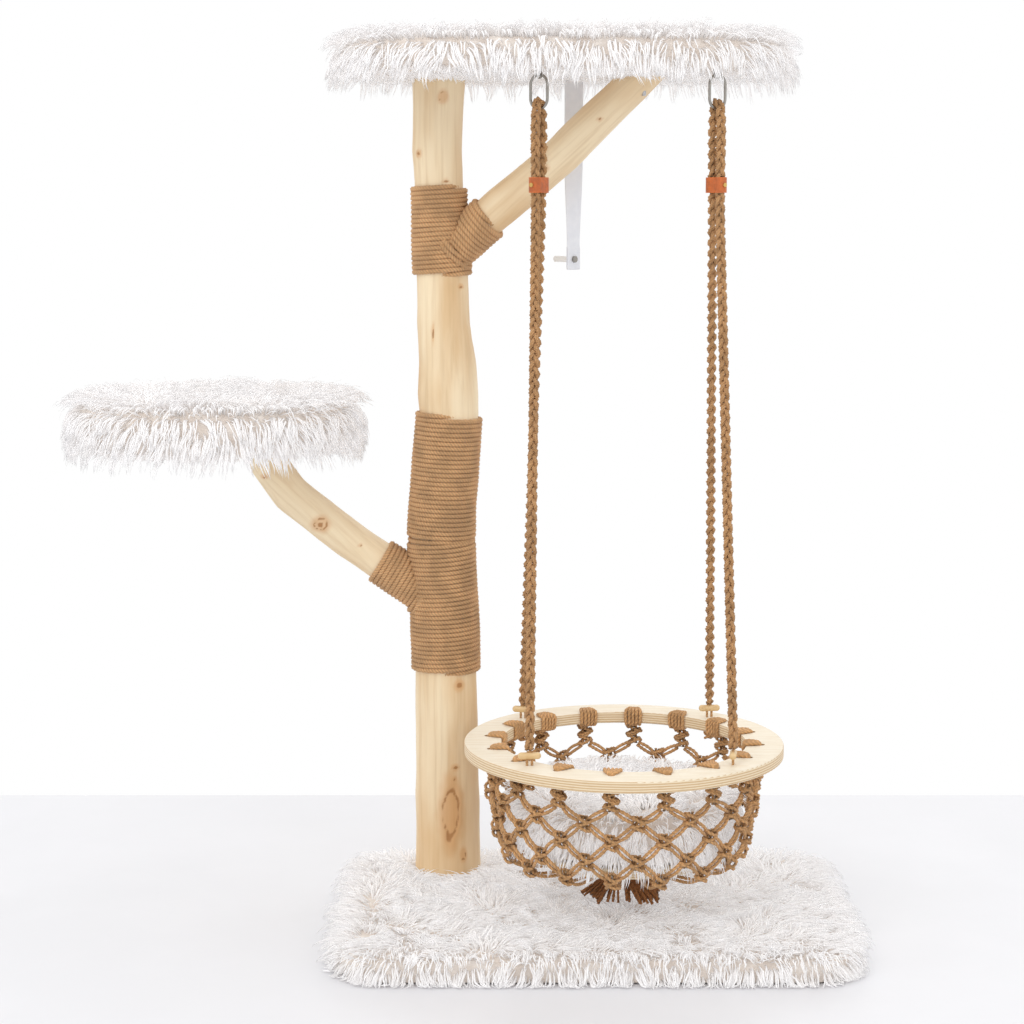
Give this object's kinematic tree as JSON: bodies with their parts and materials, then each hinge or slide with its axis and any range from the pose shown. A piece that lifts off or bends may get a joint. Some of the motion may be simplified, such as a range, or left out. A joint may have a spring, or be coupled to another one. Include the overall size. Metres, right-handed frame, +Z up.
{
  "type": "cat tree",
  "caption": "Branched log trunk on a plush base, with a round side shelf, an oval top shelf and a net basket that hangs from ropes.",
  "frame": {"origin": "centre of the base's underside, on the floor", "axes": "+X to the right seen from the front, +Y to the back, +Z up"},
  "size_m": [1.007, 0.565, 1.128],
  "materials": {
    "plywood": "satin sanded birch plywood",
    "white_plush": "long soft pile",
    "felt": "dense non-slip felt",
    "zinc_steel": "zinc plated",
    "peeled_log": "peeled and lightly waxed",
    "jute_rope": "twisted jute rope, laid turn on turn",
    "nickel": "bright nickel plate",
    "braided_jute": "plaited jute",
    "tan_leather": "smooth tan leather",
    "brass": "polished",
    "turned_wood": "sanded",
    "macrame_cord": "knotted cord",
    "dark_cord": "unlaid cord ends",
    "white_webbing": "woven tape",
    "white_plastic": "moulded"
  },
  "bodies": {
    "tree": {"base_board": "plywood", "base_cover": "white_plush", "base_screws": "zinc_steel", "base_underlay": "felt", "left_screw_eye": "nickel", "lower_branch": "peeled_log", "lower_branch_stud": "zinc_steel", "lower_branch_wrap": "jute_rope", "lower_trunk": "peeled_log", "lower_trunk_wrap": "jute_rope", "right_screw_eye": "nickel", "side_shelf_board": "plywood", "side_shelf_cover": "white_plush", "side_shelf_screws": "zinc_steel", "strap_saddle": "zinc_steel", "top_shelf_board": "plywood", "top_shelf_cover": "white_plush", "top_shelf_screws": "zinc_steel", "trunk_stud": "zinc_steel", "upper_branch": "peeled_log", "upper_branch_stud": "zinc_steel", "upper_branch_wrap": "jute_rope", "upper_trunk": "peeled_log", "upper_trunk_wrap": "jute_rope"},
    "hanger_rings": {"left_hanger_ring": "nickel", "right_hanger_ring": "nickel"},
    "left_ropes": {"left_rope": "braided_jute", "left_leather_band": "tan_leather", "left_band_rivet": "brass"},
    "right_ropes": {"right_rope": "braided_jute", "right_leather_band": "tan_leather", "right_band_rivet": "brass"},
    "basket": {"basket_rim": "plywood", "rim_lashings": "macrame_cord", "toggles": "turned_wood", "toggle_ties": "macrame_cord", "basket_net": "macrame_cord", "basket_floor": "plywood", "basket_cushion": "white_plush", "gather_knot": "macrame_cord", "tassel": "dark_cord"},
    "strap": {"anchor_strap": "white_webbing", "anchor_screw": "nickel", "wall_plug": "white_plastic"}
  },
  "joints": [
    {"name": "basket_swing", "type": "hinge", "parent": "tree", "child": "hanger_rings", "pos_m": [0.038, -0.022, 1.0739], "axis": [-1, 0, 0], "range_deg": [-2.5, 20]},
    {"name": "basket_sway", "type": "hinge", "parent": "hanger_rings", "child": "left_ropes", "pos_m": [-0.0695, -0.022, 1.03025], "axis": [0, -1, 0], "range_deg": [-1, 12]},
    {"name": "right_rope_sway", "type": "hinge", "parent": "hanger_rings", "child": "right_ropes", "pos_m": [0.1455, -0.022, 1.03025], "axis": [0, -1, 0], "range_deg": [-2, 13]},
    {"name": "basket_level", "type": "hinge", "parent": "left_ropes", "child": "basket", "pos_m": [-0.08429, -0.022, 0.2695], "axis": [0, -1, 0], "range_deg": [-12, 2]},
    {"name": "strap_swing", "type": "hinge", "parent": "tree", "child": "strap", "pos_m": [-0.022, 0.17, 1.079], "axis": [1, 0, 0], "range_deg": [-10, 50]}
  ],
  "couplings": [
    {"joint": "right_rope_sway", "follows": "basket_sway", "ratio": 1.004},
    {"joint": "basket_level", "follows": "basket_sway", "ratio": -0.877}
  ]
}
